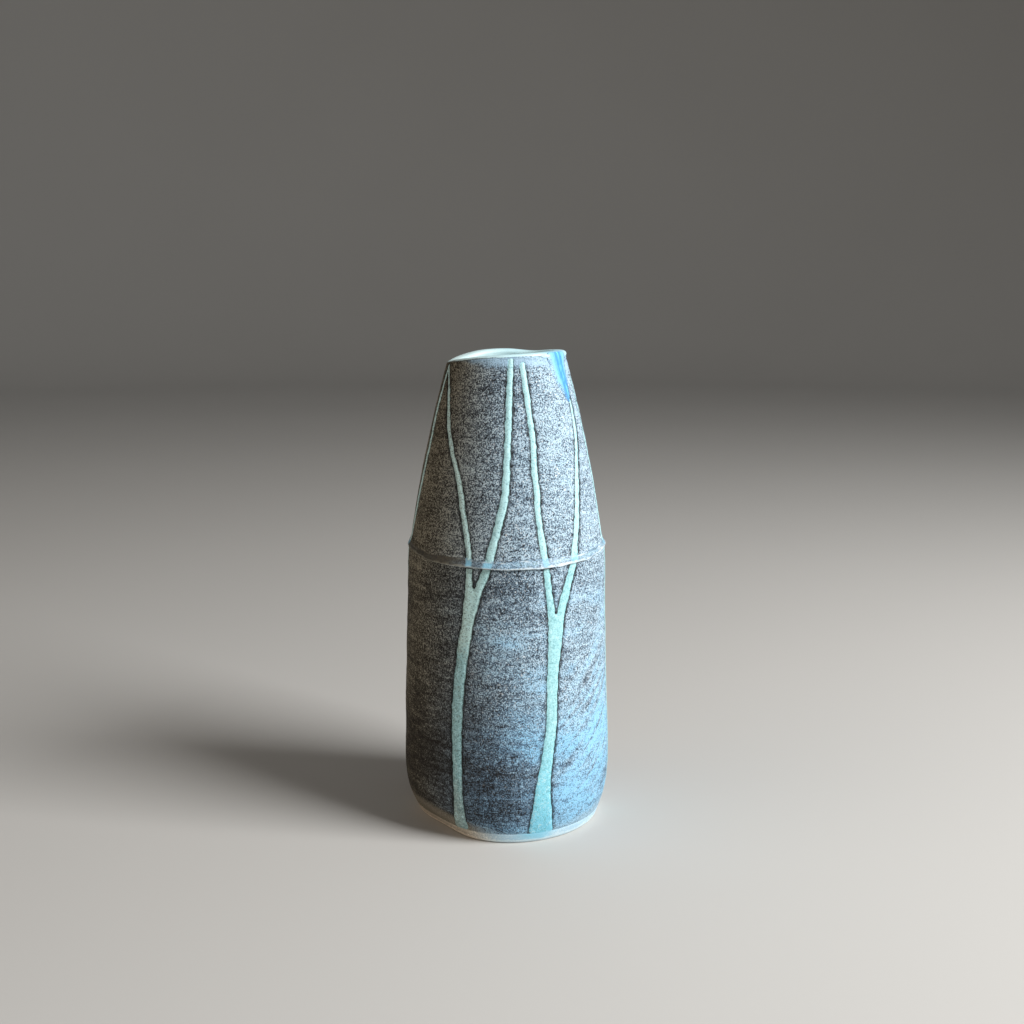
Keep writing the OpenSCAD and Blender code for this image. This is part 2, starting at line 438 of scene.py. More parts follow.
@dataclass
class Solid:
    """Points in millimetres, faces and marks of a closed mesh before it becomes a piece."""

    points: Grid
    faces: list[list[int]]
    marks: Marks = field(default_factory=dict)

    @classmethod
    def scored(cls, sheet: ScoredSheet, face: Grid, bed: Grid,
               marks: Marks, carved: bool = False) -> "Solid":
        """What fills the inside of the scored lines, or a wall that is sunk to a bed there.

        Args:
            sheet: the grid, cut along the lines.
            face: points of the upper face.
            bed: points of the bed under it.
            marks: values over the grid that the finish reads.
            carved: whether the wall is wanted and not the filling.

        Returns:
            The solid.
        """
        n = len(sheet.first)
        if carved:
            faces = sheet.outside + [[v + n for v in polygon] for polygon in sheet.inside]
            faces += [[b, a, a + n, b + n] for a, b in sheet.seams]
        else:
            faces = sheet.inside + [[v + n for v in reversed(polygon)] for polygon in sheet.inside]
            faces += [[a, b, b + n, a + n] for a, b in sheet.seams]
        points = np.concatenate([sheet.spread(face), sheet.spread(bed)])
        spread = {name: np.tile(sheet.spread(grid), 2) for name, grid in marks.items()}
        return cls(points, faces, spread).tidied()

    @classmethod
    def ring(cls, skin: Skin, marks: Marks) -> "Solid":
        """A plain ring from a closed skin and the marks over it."""
        sheet = ScoredSheet(np.ones(skin.z.shape), closed=True)
        spread = {name: grid.ravel() for name, grid in marks.items()}
        return cls(skin.points().reshape(-1, 3), sheet.outside, spread)

    @classmethod
    def capped(cls, grid: Grid, marks: Marks) -> "Solid":
        """A closed body whose first and last rows close on the axis.

        Args:
            grid: points in rows and columns; the first and last rows are close to the axis.
            marks: values over the grid that the finish reads.

        Returns:
            The solid.
        """
        outside = ScoredSheet(np.ones(grid.shape[:2]), closed=False).outside
        points = grid.reshape(-1, 3)
        n = len(points)
        last = n - COLUMNS
        ends = np.array([[0, 0, grid[0, :, 2].mean()], [0, 0, grid[-1, :, 2].mean()]])
        nexts = np.roll(np.arange(COLUMNS), -1).tolist()
        under = [[n, b, a] for a, b in enumerate(nexts)]
        over = [[n + 1, last + a, last + b] for a, b in enumerate(nexts)]
        spread = {name: np.append(values.ravel(), [values[0].mean(), values[-1].mean()])
                  for name, values in marks.items()}
        return cls(np.concatenate([points, ends]), outside + under + over, spread)

    def tidied(self) -> "Solid":
        """The same solid without the points that no face uses."""
        used, flat = np.unique(np.concatenate([np.array(f) for f in self.faces]),
                               return_inverse=True)
        ends = np.cumsum([len(f) for f in self.faces])
        faces = [part.tolist() for part in np.split(flat, ends[:-1])]
        marks = {name: values[used] for name, values in self.marks.items()}
        return Solid(self.points[used], faces, marks)

    def piece(self, name: str, nodes: Sequence[str], slot: Slot, finish: bpy.types.Material,
              crease: float = 40.0) -> bpy.types.Object:
        """Makes the mesh object and ties it to the frame.

        Args:
            name: the piece's name.
            nodes: nodes of the frame that it stands for.
            slot: the record's finish; not used.
            finish: its material.
            crease: angle from which an edge is drawn sharp.

        Returns:
            The object.
        """
        piece = smooth_object(name, self.points * MM, self.faces, finish)
        for mark, values in self.marks.items():
            layer = piece.data.attributes.new(mark, "FLOAT", "POINT")
            layer.data.foreach_set("value", values.astype(np.float32))
        piece.data.set_sharp_from_angle(angle=math.radians(crease))
        piece.data.update()
        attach(piece, BODY)
        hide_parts(*nodes)
        log.info("%s: %d faces, stands for %s", name, len(self.faces), ", ".join(nodes))
        return piece


# ---------------------------------------------------------------- the trees


@dataclass(frozen=True)
class Stroke:
    """One drawn line of a tree: stations of height, azimuth and width from bottom to top."""

    stations: tuple[tuple[float, float, float], ...]

    def away(self, az: Grid, z: Grid, r: Grid) -> Grid:
        """Distance from the line's edge, negative on the line.

        Args:
            az: azimuths of the points.
            z: their heights.
            r: radius of the wall there.

        Returns:
            Distances along the wall.
        """
        centre = HandLine(*[(height, at) for height, at, _ in self.stations])
        width = HandLine(*[(height, wide) for height, _, wide in self.stations])
        low, high = self.stations[0][0], self.stations[-1][0]
        step = 0.5
        slope = (centre(z + step) - centre(z - step)) / (2 * step)
        across = r * np.radians(turn(az, centre(z)))
        leaning = np.cos(np.arctan(r * np.radians(slope)))
        beyond = np.maximum(np.maximum(low - z, z - high), 0)
        return np.hypot(across * leaning, beyond) - width(z) / 2


@dataclass(frozen=True)
class Tree:
    """A forked tree: a trunk and two branches."""

    trunk: Stroke
    left: Stroke
    right: Stroke

    def away(self, az: Grid, z: Grid, r: Grid) -> Grid:
        """Distance from the tree's edge, negative on it; the fork is slightly filleted."""
        fillet = 0.35
        lines = [line.away(az, z, r) for line in (self.trunk, self.left, self.right)]
        branches = np.minimum(lines[1], lines[2])
        blend = np.clip(0.5 + 0.5 * (branches - lines[0]) / fillet, 0, 1)
        return branches * (1 - blend) + lines[0] * blend - fillet * blend * (1 - blend)


def regular_tree(az: float, fork_z: float, left: float, right: float) -> Tree:
    """A tree whose branches leave the trunk at the fork and turn upright towards the rim.

    Args:
        az: azimuth of the trunk's foot.
        fork_z: height of the fork.
        left: how far the left branch swings, in degrees.
        right: how far the right branch swings.

    Returns:
        The tree.
    """
    steps = 5
    widest, taper = 2.4, 0.55

    def branch(start: float, tip_z: float, swing: float) -> Stroke:
        """A branch as a quarter wave from the fork to its tip."""
        shares = [i / steps for i in range(steps + 1)]
        return Stroke(tuple(
            (fork_z + (tip_z - fork_z) * t, start + swing * math.sin(math.radians(90 * t)),
             widest * (1 - taper * t)) for t in shares))

    trunk = Stroke(((3.5, az, 5.2), (15.5, az, 3.4), (40, az - 1, 3.2), (fork_z + 4, az, 4)))
    return Tree(trunk, branch(az - 1, 124, -left), branch(az + 1, 125, right))


OPEN_TREE = Tree(
    Stroke(((3.4, -28.7, 4.6), (12, -27.2, 2.9), (20, -27.4, 2.9), (28, -28, 3.0),
            (38, -27.5, 3.3), (48, -25.7, 3.3), (56, -23.5, 3.6), (61, -21.8, 3.3),
            (67, -20.4, 3.3), (70.4, -19.6, 1.2))),
    Stroke(((62, -22.2, 2.4), (70, -21.4, 2.2), (76, -21.3, 1.8), (83, -23.3, 1.6),
            (89, -26.8, 1.7), (96, -30.8, 1.7), (101, -35.6, 1.6), (107, -43.3, 1.5),
            (113, -49.8, 1.4), (118.5, -55.2, 1.2), (122.5, -60.5, 1.1), (127, -70, 1.0))),
    Stroke(((62, -20.7, 2.4), (70, -15.8, 2.4), (76, -10.9, 2.3), (82, -7.8, 2.2),
            (88.5, -4.1, 2.1), (94, -1.4, 2.0), (99, -0.2, 2.0), (105, 0.4, 1.9),
            (111, 1.2, 1.8), (119, 2.1, 1.7), (125, 3.2, 1.6), (132, 4.3, 1.5))))
STEEP_TREE = Tree(
    Stroke(((3.2, 20.2, 7.2), (7, 19.7, 6.2), (11, 19.4, 5.4), (18.5, 20.3, 3.9), (25, 22.3, 3.4),
            (35, 25, 3.1), (43, 25.5, 3.3), (51, 26.4, 3.6), (56.5, 27.3, 4.2), (61, 28.2, 4.6))),
    Stroke(((55, 26.4, 2.4), (62, 25.5, 2.2), (68.5, 23.9, 1.9), (75.5, 22.4, 1.8), (82, 20.9, 1.8),
            (89, 19.3, 1.8), (96, 19, 1.7), (102, 18.4, 1.7), (108, 18.9, 1.7),
            (114, 18, 1.6), (120, 16.5, 1.6), (128, 14.8, 1.5))),
    Stroke(((55, 28.2, 2.6), (61, 30.2, 2.6), (67, 33.3, 2.6), (73, 37.8, 2.4), (81, 43.6, 2.2),
            (88, 47.4, 2.0), (95, 51, 1.8), (100.5, 54.2, 1.7), (106.5, 58.5, 1.6),
            (113, 62, 1.5), (117, 62.5, 1.4), (119.5, 61.5, 1.3))))
LEFT_TREE = Tree(
    Stroke(((3.5, -92, 5.2), (15.5, -92, 3.4), (40, -93, 3.2), (68, -92, 4))),
    Stroke(((64, -93, 2.4), (76, -101, 2.1), (88, -108, 1.9), (100, -114, 1.6),
            (112, -117.5, 1.4), (124, -119, 1.1))),
    Stroke(((64, -91, 2.6), (74, -85.5, 2.3), (80, -82, 2.3), (86, -79.4, 2.4), (93, -76.4, 2.4),
            (99.5, -74.6, 2.3), (106, -73.8, 2.2), (119, -73.2, 1.9), (123, -71.8, 1.6),
            (127, -70.5, 1.2))))
TREES = (OPEN_TREE, STEEP_TREE, regular_tree(85, 60, 5, 24), regular_tree(146, 66, 30, 27),
         regular_tree(208, 58, 27, 25), LEFT_TREE)


@dataclass(frozen=True)
class Scoring:
    """How the trees are cut into the clay and filled."""

    deep: float = 0.45
    bed: float = 0.04
    glaze_edge: float = -0.14
    glaze_middle: float = 0.05
    ragged: HandNoise = HandNoise(11, 0.9)
    wavy: HandNoise = HandNoise(12, 3.5)

    def tree(self, tree: Tree, skin: Skin) -> Grid:
        """Distance over a skin from one tree's slightly ragged edge."""
        hand = 0.17 * self.ragged(skin.az, skin.z) + 0.08 * self.wavy(skin.az, skin.z)
        return tree.away(skin.az, skin.z, skin.r) + hand

    def all_trees(self, skin: Skin) -> Grid:
        """Distance over a skin from the nearest tree."""
        return np.minimum.reduce([self.tree(tree, skin) for tree in TREES])

    def glaze_lift(self, away: Grid) -> Grid:
        """Height of the glaze against the wall's face: it dips where it meets the clay."""
        return self.glaze_middle + (self.glaze_edge - self.glaze_middle) * ease(away, -0.6, 0)


# ---------------------------------------------------------------- shader bench


class Signal:
    """A node's output that takes part in plain arithmetic."""

    def __init__(self, bench: "Bench", socket: bpy.types.NodeSocket) -> None:
        """Wraps a socket of the bench's material."""
        self.bench = bench
        self.socket = socket

    def _math(self, operation: str, first: Any, second: Any) -> "Signal":
        """Adds one Math node."""
        return self.bench.node("ShaderNodeMath", {"operation": operation},
                               {"Value": first, "Value_001": second})

    def __add__(self, other: Any) -> "Signal":
        """Sum."""
        return self._math("ADD", self, other)

    __radd__ = __add__

    def __sub__(self, other: Any) -> "Signal":
        """Difference."""
        return self._math("SUBTRACT", self, other)

    def __rsub__(self, other: Any) -> "Signal":
        """Difference from a number."""
        return self._math("SUBTRACT", other, self)

    def __mul__(self, other: Any) -> "Signal":
        """Product."""
        return self._math("MULTIPLY", self, other)

    __rmul__ = __mul__

    def rise(self, low: float, high: float) -> "Signal":
        """Rises smoothly from 0 at low to 1 at high; falls where high is below low."""
        return self.bench.node("ShaderNodeMapRange", {"interpolation_type": "SMOOTHSTEP"},
                               {"Value": self, "From Min": low, "From Max": high}, "Result")


def tone(code: str) -> tuple[float, float, float, float]:
    """Linear red, green, blue and alpha of a colour's hex code."""
    parts = [int(code[i:i + 2], 16) / 255 for i in (1, 3, 5)]
    linear = [p / 12.92 if p <= 0.04045 else ((p + 0.055) / 1.055) ** 2.4 for p in parts]
    return (*linear, 1.0)


class Bench:
    """Builds one material node by node."""

    def __init__(self, name: str) -> None:
        """Starts an empty material of the given name."""
        self.material = bpy.data.materials.new(name)
        self.material.use_nodes = True
        self.tree = self.material.node_tree
        self.tree.nodes.clear()
        self.place = self.node("ShaderNodeTexCoord", output="Object")

    def node(self, kind: str, settings: dict[str, Any] | None = None,
             sockets: dict[str, Any] | None = None, output: str | None = None) -> Signal:
        """Adds a node.

        Args:
            kind: the node's type.
            settings: its properties, which are set first.
            sockets: values or signals of its inputs, by identifier.
            output: identifier of the output that is wanted; the first one if left out.

        Returns:
            The output.
        """
        node = self.tree.nodes.new(kind)
        for name, value in (settings or {}).items():
            setattr(node, name, value)
        inputs = {socket.identifier: socket for socket in node.inputs}
        for name, value in (sockets or {}).items():
            if isinstance(value, Signal):
                self.tree.links.new(value.socket, inputs[name])
            else:
                inputs[name].default_value = value
        if not node.outputs:
            return Signal(self, node.inputs[0])
        outputs = {socket.identifier: socket for socket in node.outputs}
        return Signal(self, outputs[output] if output else node.outputs[0])

    def mark(self, name: str) -> Signal:
        """A value that the mesh carries."""
        return self.node("ShaderNodeAttribute", {"attribute_name": name}, output="Fac")

    def noise(self, grain_mm: float, detail: float = 3.0, roughness: float = 0.6,
              stretch: tuple[float, float, float] = (1.0, 1.0, 1.0), shift: float = 0.0) -> Signal:
        """Cloudy noise from 0 to 1.

        Args:
            grain_mm: size of its patches.
            detail: octaves.
            roughness: strength of the finer octaves.
            stretch: how many times longer the patches are along each axis.
            shift: moves the pattern, so that two noises differ.

        Returns:
            The noise.
        """
        scale = [1 / (grain_mm * MM * s) for s in stretch]
        place = self.node("ShaderNodeVectorMath", {"operation": "MULTIPLY_ADD"},
                          {"Vector": self.place, "Vector_001": scale,
                           "Vector_002": (shift, shift * 0.7, shift * 1.3)})
        return self.node("ShaderNodeTexNoise", {}, {
            "Vector": place, "Scale": 1.0, "Detail": detail, "Roughness": roughness})

    def blend(self, factor: Any, start: Any, end: Any) -> Signal:
        """Mixes two colours, hex codes or signals: all start at a factor of 0, all end at 1."""
        colours = [tone(c) if isinstance(c, str) else c for c in (start, end)]
        return self.node("ShaderNodeMix", {"data_type": "RGBA"}, {
            "Factor_Float": factor, "A_Color": colours[0], "B_Color": colours[1]}, "Result_Color")

    def layers(self, colour: Any, *coats: tuple[Any, Any]) -> Signal:
        """Lays coats over a colour, each given by its share, from 0 to 1, and its colour."""
        for share, coat in coats:
            colour = self.blend(share, colour, coat)
        return colour

    def bump(self, height: Signal, deep_mm: float, strength: float) -> Signal:
        """Normal of a relief that is too fine for the mesh; height runs from 0 to 1."""
        return self.node("ShaderNodeBump", {}, {
            "Height": height, "Distance": deep_mm * MM, "Strength": strength})

    def surface(self, colour: Signal, rough: Any, specular: float,
                normal: Signal | None = None) -> bpy.types.Material:
        """Closes the material with a Principled surface.

        Args:
            colour: its colour.
            rough: its roughness.
            specular: its specular level.
            normal: its normal, if it has relief.

        Returns:
            The material.
        """
        sockets = {"Base Color": colour, "Roughness": rough, "Specular IOR Level": specular}
        if normal is not None:
            sockets["Normal"] = normal
        shader = self.node("ShaderNodeBsdfPrincipled", {}, sockets, "BSDF")
        self.node("ShaderNodeOutputMaterial", {}, {"Surface": shader})
        return self.material


# ---------------------------------------------------------------- finishes


@dataclass(frozen=True)
class OxideClay:
    """Dry stoneware, brushed with dark oxide over a pale slip."""

    # Each pair's left colour is darker and browner partly as painted shade, its right colour paler and
    # bluer partly as painted light; white serves only the painted glints.
    oxide: Pair = ("#1f1912", "#1f242a")
    body: Pair = ("#4f493c", "#637789")
    denim: str = "#587f9f"
    slip: Pair = ("#a39c88", "#bcd6e5")
    slip_blue: str = "#8ecbee"
    black: str = "#14120f"
    white: str = "#f2f8fa"
    bare: Pair = ("#8b8271", "#a9c8da")
    wash: str = "#a8cae2"
    # lip is the colour of the painted highlight along the hem's lip edge.
    lip: Pair = ("#8f8978", "#e4f1f5")
    fleck_mm: float = 0.36

    def material(self) -> bpy.types.Material:
        """Builds the finish. The mesh carries all the marks of Brushwork.marks."""
        bench = Bench("oxide_clay")
        # side tints the oxide, body and slip partly as painted shade and light; light is painted light
        # that makes the lit right side paler, partly with more slip there.
        side, slip, low, light = map(bench.mark, ("side", "slip", "low", "light"))
        grain = bench.noise(self.fleck_mm, 2, 0.6)
        clump = bench.noise(1.2, 2, 0.5, shift=31)
        streak = bench.noise(0.9, 3, 0.6, (8, 8, 1), shift=17)
        cloud = bench.noise(9, 3, 0.6, (1.6, 1.6, 1), shift=61)
        glints = bench.noise(0.5, 2, 0.5, shift=83)
        pits = bench.noise(0.5, 2, 0.5, shift=53)
        broken = bench.noise(1.2, 3, 0.7, shift=71)
        fringe = bench.noise(1.6, 4, 0.7, (2, 2, 1), shift=91) - 0.5
        # The light terms are painted light: they make the lit right side paler, most near the foot,
        # partly with more slip there.
        cover = ((grain - 0.5) * (3.5 - low * 1.2) + (clump - 0.5) * 0.7 + (streak - 0.5) * 0.8
                 + (cloud - 0.5) * 0.7 + slip * 0.2 + light * 0.17 - low * 0.23
                 + light * low * 0.32 + 0.52)
        # bluer shows only towards the lit right side, partly as painted light.
        bluer = ((cloud - 0.5) * 1.4 + slip * 0.25 + low * 0.8 - 0.05).rise(0.0, 1.0) * side
        oxide = bench.blend(side, *self.oxide)
        body = bench.layers(bench.blend(side, *self.body), (bluer * 0.7, self.denim))
        pale = bench.layers(bench.blend(side, *self.slip), (bluer * 0.9, self.slip_blue))
        clay = bench.layers(bench.blend(bench.mark("cool"), *self.bare),
                            (grain.rise(0.55, 0.3) * 0.5, oxide))
        # painted highlight: white glints only on the lit right side, fewer near the foot
        painted_glint_share = side * (0.75 - low * 0.55)
        edge = bench.mark("line") + (broken - 0.5) * 2.4
        bare = (bench.mark("bare") + fringe * 3.0 + (grain - 0.5) * 2.5).rise(-1.6, 1.8)
        wash = (bench.mark("wash") + (grain - 0.5) * 3.0 + fringe * 2.2).rise(-0.8, 1.4)
        # dark: the dotted line under the rim glaze, and on the lower wall the painted shade under the
        # hem's lip
        dark = bench.mark("rim").rise(0.34, 0.0) * broken.rise(0.36, 0.56)
        # lip: a painted highlight along the edge of the hem's lip, dull on the left and pale on the
        # lit right
        lip = (bench.mark("lip") + fringe * 0.5).rise(0.25, 0.0)
        colour = bench.layers(
            oxide,
            (cover.rise(0.0, 0.5), body),
            (cover.rise(0.45, 1.0), pale),
            (glints.rise(0.60, 0.72) * painted_glint_share, self.white),
            (pits.rise(0.39, 0.28) * 0.7, self.black),
            (edge.rise(1.0, -0.1) * 0.9, self.black),
            (bare * 0.85, clay),
            (wash * 0.75, self.wash),
            (dark * 0.8, self.black),
            (lip * 0.8, bench.blend(side, *self.lip)))
        relief = bench.bump(grain * 0.5 + cover * 0.3, 0.12, 0.7)
        return bench.surface(colour, 0.86 - wash * 0.3, 0.3, relief)


@dataclass(frozen=True)
class BareClay:
    """Bare fired stoneware, pale and dry, with the oxide wiped off it."""

    # Each pair's left colour is warmer partly as painted shade, its right one bluer partly as painted
    # light.
    clay: Pair = ("#fbeeda", "#def2fa")
    stain: Pair = ("#8a7c66", "#a2cbe3")
    smear: str = "#8fd8f0"

    def material(self) -> bpy.types.Material:
        """Builds the finish. The mesh carries side and high, and may carry glazed."""
        bench = Bench("bare_clay")
        side = bench.mark("side")
        grain = bench.noise(0.4, 2, 0.6, shift=5)
        smear = bench.noise(2.0, 4, 0.65, (4, 4, 1), shift=23)
        stain = bench.mark("high") * 1.1 + (grain - 0.5) * 2.4 + (smear - 0.5) * 2.2 - 0.35
        glazed = bench.mark("glazed") + (smear - 0.5) * 1.2
        colour = bench.layers(
            bench.blend(side, *self.clay),
            (stain.rise(0.0, 1.0) * 0.7, bench.blend(side, *self.stain)),
            (glazed.rise(0.1, 1.0) * 0.8, self.smear))
        return bench.surface(colour, 0.86 - grain * 0.1, 0.3, bench.bump(grain, 0.12, 0.6))


@dataclass(frozen=True)
class InlayGlaze:
    """Satin turquoise glaze that fills the scored trees."""

    # Left colours are greener and duller partly as painted shade; the pale left thin colour is partly
    # a painted highlight where the left forks catch the light.
    thin: Pair = ("#cfe8e0", "#a6dde2")
    deep: Pair = ("#98c2c4", "#88d8ea")
    foot: Pair = ("#96a398", "#7bd2ef")
    speck: Pair = ("#3f5152", "#5f98a0")
    bloom: str = "#cdf3f6"

    def material(self) -> bpy.types.Material:
        """Builds the finish. The mesh carries cool, depth and pool."""
        bench = Bench("turquoise_glaze")
        cool = bench.mark("cool")
        mottle = bench.noise(1.1, 4, 0.7, shift=9)
        grain = bench.noise(0.42, 2, 0.6, shift=19)
        pool = bench.mark("pool") + (mottle - 0.5) * 2.0
        speck = bench.blend(cool, *self.speck)
        edge = (bench.mark("depth") + (mottle - 0.5) * 1.1).rise(0.26, -0.05)
        colour = bench.layers(
            bench.blend(cool, *self.thin),
            (pool.rise(0.1, 0.9), bench.blend(cool, *self.deep)),
            (pool.rise(1.0, 1.8), bench.blend(cool, *self.foot)),
            (pool.rise(-0.2, -1.1) * 0.6, self.bloom),
            (mottle.rise(0.50, 0.64) * 0.6, self.bloom),
            (mottle.rise(0.47, 0.32) * 0.5, speck),
            (grain.rise(0.50, 0.32) * (0.75 - cool * 0.25), speck),
            (grain.rise(0.55, 0.70) * (0.6 - cool * 0.3), self.bloom),
            (edge * 0.4, speck))
        return bench.surface(colour, 0.42 + mottle * 0.25, 0.45, bench.bump(grain, 0.1, 0.6))


@dataclass(frozen=True)
class AquaGlaze:
    """Pale aqua glaze of the rim, the seam and the lining."""

    name: str = "aqua_glaze"
    # Each pair's left colour is duller and darker partly as painted shade, its right one paler and
    # bluer partly as painted light; bright is the painted highlight colour.
    thick: Pair = ("#cfe6e6", "#cbeef4")
    thin: Pair = ("#4b463a", "#84a6bf")
    dark: str = "#2b2c2d"
    crackle: str = "#9fd2e2"
    bright: Pair = ("#8f8c7c", "#e6f3f6")
    over_line: str = "#8fcde6"

    def material(self) -> bpy.types.Material:
        """Builds the finish. The mesh carries side, body, line and lip."""
        bench = Bench(self.name)
        side = bench.mark("side")
        mottle = bench.noise(2.2, 4, 0.65, shift=13)
        grain = bench.noise(0.42, 2, 0.6, shift=3)
        body = (bench.mark("body") + (mottle - 0.5) * 0.9).rise(0.1, 0.85)
        thin = bench.layers(
            bench.blend(side, *self.thin),
            (grain.rise(0.54, 0.36) * 0.85, self.dark),
            # painted glints: pale grains only on the lit right side
            (grain.rise(0.54, 0.70) * side * 0.6, self.bright[1]))
        thick = bench.layers(bench.blend(side, *self.thick),
                             (mottle.rise(0.5, 0.75) * 0.3, self.crackle))
        # lip: a painted highlight along the lower edge of the seam glaze at the hem's lip
        lip = (bench.mark("lip") + (mottle - 0.5) * 0.6).rise(0.22, 0.02)
        colour = bench.layers(
            thin,
            (body, thick),
            (bench.mark("line").rise(0.3, -0.3) * 0.65, self.over_line),
            (lip * 0.7, bench.blend(side, *self.bright)))
        relief = bench.bump(mottle + grain * 0.4, 0.12, 0.4)
        return bench.surface(colour, 0.36 + grain * 0.2, 0.45, relief)


@dataclass(frozen=True)
class RunGlaze:
    """Glossy sky-blue glaze that ran down from the rim in streaks."""

    edge: str = "#a4cbe8"
    body: str = "#8acdec"
    bright: str = "#86dff6"
    dark: str = "#4592d6"
    fleck: str = "#4d5c69"

    def material(self) -> bpy.types.Material:
        """Builds the finish. The mesh carries core and body."""
        bench = Bench("blue_glaze")
        body = bench.mark("body")
        streak = bench.noise(0.8, 4, 0.65, (1, 1, 5), shift=27) - 0.5
        mottle = bench.noise(1.6, 4, 0.7, shift=37) - 0.5
        fleck = bench.noise(0.42, 2, 0.6, shift=47)
        across = bench.mark("core") + streak * 3.0 + mottle
        thin = (body + mottle).rise(0.7, 0.0)
        colour = bench.layers(
            self.edge,
            ((body + mottle * 1.6).rise(0.0, 1.0), self.body),
            (across.rise(2.4, 0.7) * 0.85, self.dark),
            (across.rise(0.6, -0.3) * 0.9, self.bright),
            (mottle.rise(0.1, 0.3) * 0.3, self.edge),
            (fleck.rise(0.56, 0.40) * thin * 0.85, self.fleck))
        return bench.surface(colour, 0.28 + mottle * 0.15, 0.45, bench.bump(mottle, 0.1, 0.3))


@dataclass(frozen=True)
class StudioFloor:
    """Matt pale floor with the faintest cloudiness."""

    pale: str = "#c4c2be"
    paler: str = "#c8c6c2"

    def material(self) -> bpy.types.Material:
        """Builds the finish."""
        bench = Bench("studio_floor")
        colour = bench.blend(bench.noise(300, 1, 0.5), self.pale, self.paler)
        return bench.surface(colour, 0.8, 0.2)


# ---------------------------------------------------------------- marks that finishes read


@dataclass(frozen=True)
class Dab:
    """A brushed patch: more slip where strength is above 0, more oxide below."""

    az: float
    z: float
    wide: float
    tall: float
    strength: float

    def cover(self, az: Grid, z: Grid, r: Grid) -> Grid:
        """The patch's share of the slip over a skin."""
        across = r * np.radians(turn(az, self.az))
        return self.strength * hump(across, 0, self.wide) * hump(z, self.z, self.tall)


@dataclass(frozen=True)
class Brushwork:
    """Where oxide, slip, bare clay and wash lie on the outside, with the painted shade and light of
    the side and light marks.
    """

    bare_edge: HandLine = HandLine(
        (-100, 7.2), (-72, 8.2), (-54, 8.0), (-41, 7.4), (-30, 6.0), (-15, 4.6), (-4, 3.4),
        (7, 2.8), (22, 3.4), (40, 4.5), (70, 6), (110, 6.5), (160, 5), (210, 6.5), period=360)
    wash_deep: HandLine = HandLine(
        (-90, -0.5), (-50, 0), (-25, 2.2), (-8, 3.2), (10, 3.6), (25, 3.6), (38, 4.2), (50, 5.5),
        (60, 7.5), (67, 8.5), (73, 6.5), (82, 3.5), (120, 1.5), (180, 2.5), (230, 0.5), period=360)
    dabs: tuple[Dab, ...] = (
        Dab(-1, 57, 7.5, 4, 0.9), Dab(-4, 44, 9, 5, 0.2), Dab(3, 31, 8, 4, 0.15),
        Dab(-3, 9.5, 11, 3.0, -1.2), Dab(-4, 19, 9, 4.5, -0.9), Dab(12, 3.6, 8, 1.6, 1.2),
        Dab(-8, 5.2, 8, 1.2, 0.4), Dab(10, 70, 5, 4.5, -0.9), Dab(-4, 71, 6, 3, -0.35),
        Dab(50, 43, 1.6, 1.2, -2.2), Dab(38, 18, 5, 3, 0.5), Dab(60, 30, 12, 16, 0.5),
        Dab(31, 47, 2.5, 5, -0.8), Dab(-60, 40, 18, 26, -0.3), Dab(-8, 122, 10, 6, -0.4),
        Dab(35, 112, 8, 10, 0.4), Dab(40, 88, 10, 6, 0.3), Dab(9, 84, 5, 4, -0.4))
    strokes: HandNoise = HandNoise(21, 1.1, 9)
    sweeps: HandNoise = HandNoise(22, 2.6, 7)
    patches: HandNoise = HandNoise(23, 11, 1.8)
    tilted: HandNoise = HandNoise(24, 1.2, 7)

    def cool(self, az: Grid) -> Grid:
        """From 0 where the trees' glaze is greenish and dull to 1 where it is clear turquoise; the
        dull green is partly painted shade.
        """
        return ease(np.sin(np.radians(az)), -0.62, 0.1)

    def foot_side(self, az: Grid) -> Grid:
        """From 0 where the wiped foot is cream to 1 where it is blue; the blue is partly slip tint,
        and the change is partly painted shade on the left and painted light on the lit right.
        """
        return ease(np.sin(np.radians(az)), -0.45, 0.0)

    def side(self, az: Grid) -> Grid:
        """From 0 on the brown left side to 1 where the clay is grey and the slip blue; the change is
        partly the clay's own tone, partly painted shade on the left and painted light on the lit
        right.
        """
        return ease(np.sin(np.radians(az)), -0.95, 0.25)

    def slip(self, skin: Skin, level: Level) -> Grid:
        """How much slip shows, from about -1 to 1.

        Args:
            skin: the skin.
            level: the wall it is on.

        Returns:
            The slip over the skin.
        """
        az, z = skin.az, skin.z
        level_share = 1.0 if level is Level.LOWER else 0.55
        leaning = hump(turn(az, 62), 0, 30) * hump(z, 28, 26) if level is Level.LOWER else 0 * z
        climb = 0.75 * skin.r * np.radians(turn(az, 62))
        flat = 0.45 * self.strokes(az, z) + 0.35 * self.sweeps(az, z)
        brushed = level_share * flat * (1 - leaning) + leaning * 1.8 * self.tilted(az, z - climb)
        painted = sum(dab.cover(az, z, skin.r) for dab in self.dabs)
        return brushed + 0.3 * self.patches(az, z) + painted

    def marks(self, skin: Skin, line: Grid, level: Level,
              form: VaseForm) -> Marks:
        """All the marks of a clay wall.

        Args:
            skin: its whole closed skin.
            line: distance from the nearest tree.
            level: which wall it is.
            form: the vase's form.

        Returns:
            Marks by name.
        """
        return {
            "side": self.side(skin.az),
            "cool": self.foot_side(skin.az),
            # painted light: 0 on the left rising to 1 on the lit right side, partly more slip there
            "light": ease(np.sin(np.radians(skin.az)), -0.35, 0.6),
            "low": 0.65 * ease(skin.z, 52, 14) + 0.35 * ease(skin.z, 78, 70),
            "slip": self.slip(skin, level),
            "line": np.clip(line, -1, FAR),
            "bare": np.clip(self.bare_edge(skin.az) - skin.z, -FAR, FAR),
            "wash": np.clip(skin.z - form.rim(skin.az) + self.wash_deep(skin.az), -FAR, FAR),
            "rim": np.full_like(skin.z, FAR),
            "lip": np.full_like(skin.z, FAR),
        }


# ---------------------------------------------------------------- sub-assemblies


